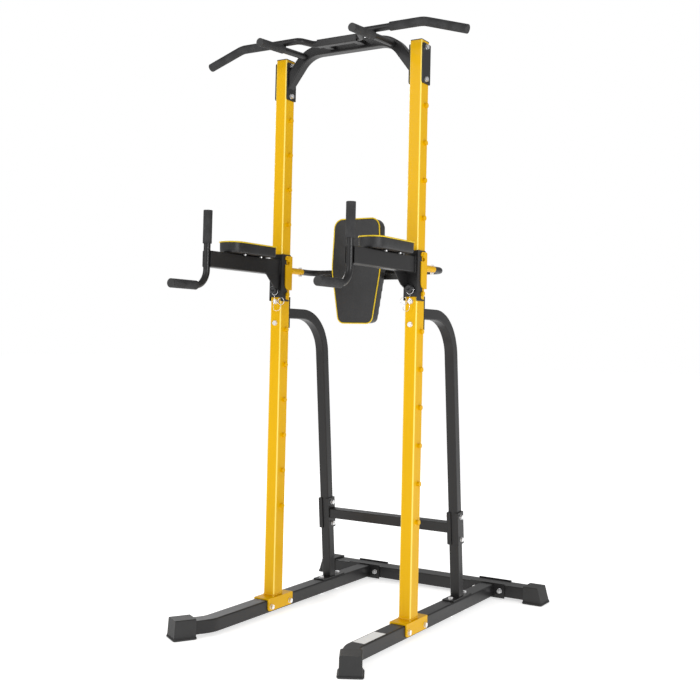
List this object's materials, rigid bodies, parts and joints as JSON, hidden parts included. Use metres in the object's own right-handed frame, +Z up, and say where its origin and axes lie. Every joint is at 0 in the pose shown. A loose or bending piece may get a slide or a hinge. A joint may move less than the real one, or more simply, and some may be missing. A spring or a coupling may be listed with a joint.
{
  "type": "power tower",
  "caption": "Free-standing pull-up and dip tower: bolted tube frame on four feet, padded backrest and two padded dip arms that hook on pegs in the uprights.",
  "frame": {"origin": "on the floor, under the middle of the whole tower's length and width", "axes": "+Z up, the front, where the dip handles point, faces -Y, +X to the right seen from the front"},
  "size_m": [1.1506, 1.4566, 2.243],
  "materials": {
    "yellow_paint": "semi-gloss powder coat",
    "black_paint": "satin powder coat",
    "zinc": "bright zinc",
    "foam": "matte foam",
    "plug_plastic": "matte moulded",
    "foot_rubber": "matte moulded",
    "leatherette": "fine grain",
    "board": "black stained plywood",
    "label_film": "matte film",
    "knob_plastic": "satin moulded",
    "ring_steel": "bright",
    "sleeve_steel": "plain"
  },
  "bodies": {
    "frame": {"bar_end_caps": "plug_plastic", "base_beam_left": "black_paint", "base_beam_right": "black_paint", "base_label": "label_film", "clamp_bolts": "zinc", "crossbeam_backing_plates": "black_paint", "crossbeam_bolts": "zinc", "front_bar": "black_paint", "front_feet": "foot_rubber", "leg_clamp_plates": "black_paint", "leg_cross_brace": "black_paint", "leg_foot_bolts": "zinc", "neutral_grips": "foam", "neutral_handle_left": "black_paint", "neutral_handle_right": "black_paint", "pegs": "yellow_paint", "rear_crossbeam": "black_paint", "rear_feet": "foot_rubber", "rear_leg_left": "black_paint", "rear_leg_right": "black_paint", "saddle_bolts": "zinc", "splice_bolts": "zinc", "splice_sleeves": "sleeve_steel", "top_bracket_bolts": "zinc", "top_crossmember": "black_paint", "top_side_plates": "black_paint", "upright_caps": "plug_plastic", "upright_lower_left": "yellow_paint", "upright_lower_right": "yellow_paint", "upright_upper_left": "yellow_paint", "upright_upper_right": "yellow_paint", "wide_grip_left": "foam", "wide_grip_right": "foam", "wide_handle_left": "black_paint", "wide_handle_right": "black_paint"},
    "arm_left": {"arm_end_caps_left": "plug_plastic", "arm_frame_left": "black_paint", "arm_grips_left": "foam", "arm_handle_left": "black_paint", "armrest_board_left": "board", "armrest_bolts_left": "zinc", "armrest_pad_left": "leatherette", "knob_rings_left": "ring_steel"},
    "arm_right": {"arm_end_caps_right": "plug_plastic", "arm_frame_right": "black_paint", "arm_grips_right": "foam", "arm_handle_right": "black_paint", "armrest_board_right": "board", "armrest_bolts_right": "zinc", "armrest_pad_right": "leatherette", "knob_rings_right": "ring_steel"},
    "knob_left": {"locking_knob_left": "knob_plastic"},
    "knob_right": {"locking_knob_right": "knob_plastic"},
    "backrest": {"backrest_board": "board", "backrest_brackets": "yellow_paint", "backrest_frame": "black_paint", "backrest_joint_bolts": "zinc", "backrest_pad": "leatherette", "backrest_pad_bolts": "zinc"}
  },
  "joints": [
    {"name": "arm_left_lift", "type": "slide", "parent": "frame", "child": "arm_left", "axis": [0, 0, 1], "range_m": [0, 0.0115]},
    {"name": "knob_left_turn", "type": "hinge", "parent": "arm_left", "child": "knob_left", "pos_m": [-0.305, -0.12525, 1.276], "axis": [0, -1, 0], "range_deg": [0, 720]},
    {"name": "arm_right_lift", "type": "slide", "parent": "frame", "child": "arm_right", "axis": [0, 0, 1], "range_m": [0, 0.0115]},
    {"name": "knob_right_turn", "type": "hinge", "parent": "arm_right", "child": "knob_right", "pos_m": [0.305, -0.12525, 1.276], "axis": [0, -1, 0], "range_deg": [0, 720]},
    {"name": "backrest_lift", "type": "slide", "parent": "frame", "child": "backrest", "axis": [0, 0, 1], "range_m": [0, 0.0115]}
  ]
}
